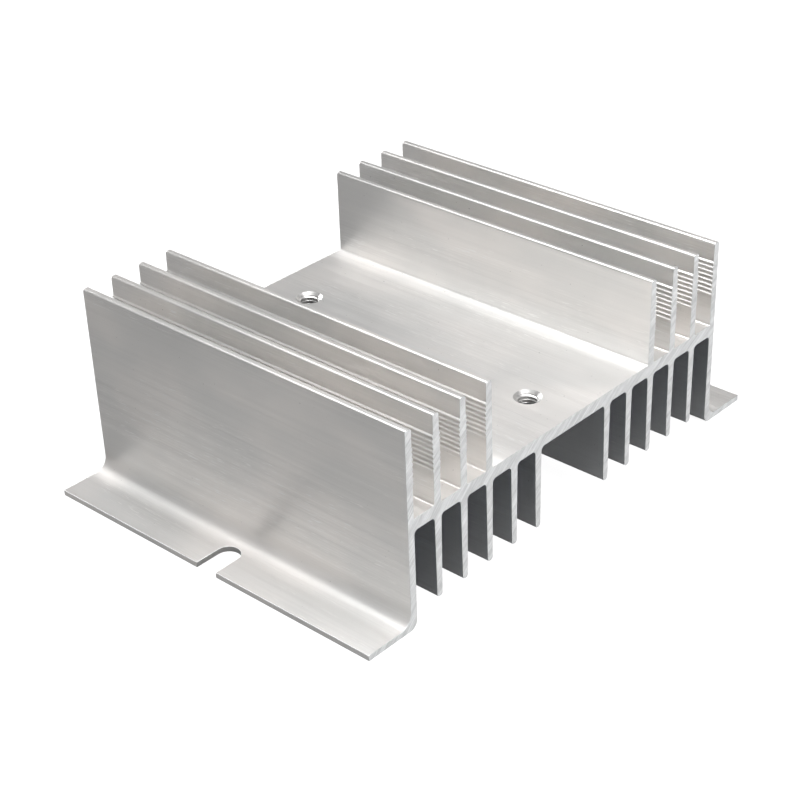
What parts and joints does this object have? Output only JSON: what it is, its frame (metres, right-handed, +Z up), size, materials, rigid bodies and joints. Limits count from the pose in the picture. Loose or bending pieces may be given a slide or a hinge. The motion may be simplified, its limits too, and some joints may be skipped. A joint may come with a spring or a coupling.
{
  "type": "diode module heat sink",
  "caption": "Extruded aluminium heat sink on flanged feet, with ridged fins above and plain fins below a drilled plate and an open channel for a diode module.",
  "frame": {"origin": "middle of the part on the mounting plane, under the two feet", "axes": "+Z up from the mounting plane to the fin tips, Y along the extrusion and its fins, X across from foot to foot"},
  "size_m": [0.15, 0.108, 0.054],
  "materials": {
    "aluminium": "bare mill finish with fine streaks along the extrusion and sawn ends"
  },
  "bodies": {
    "root": {"heat_sink": "aluminium"}
  },
  "joints": []
}
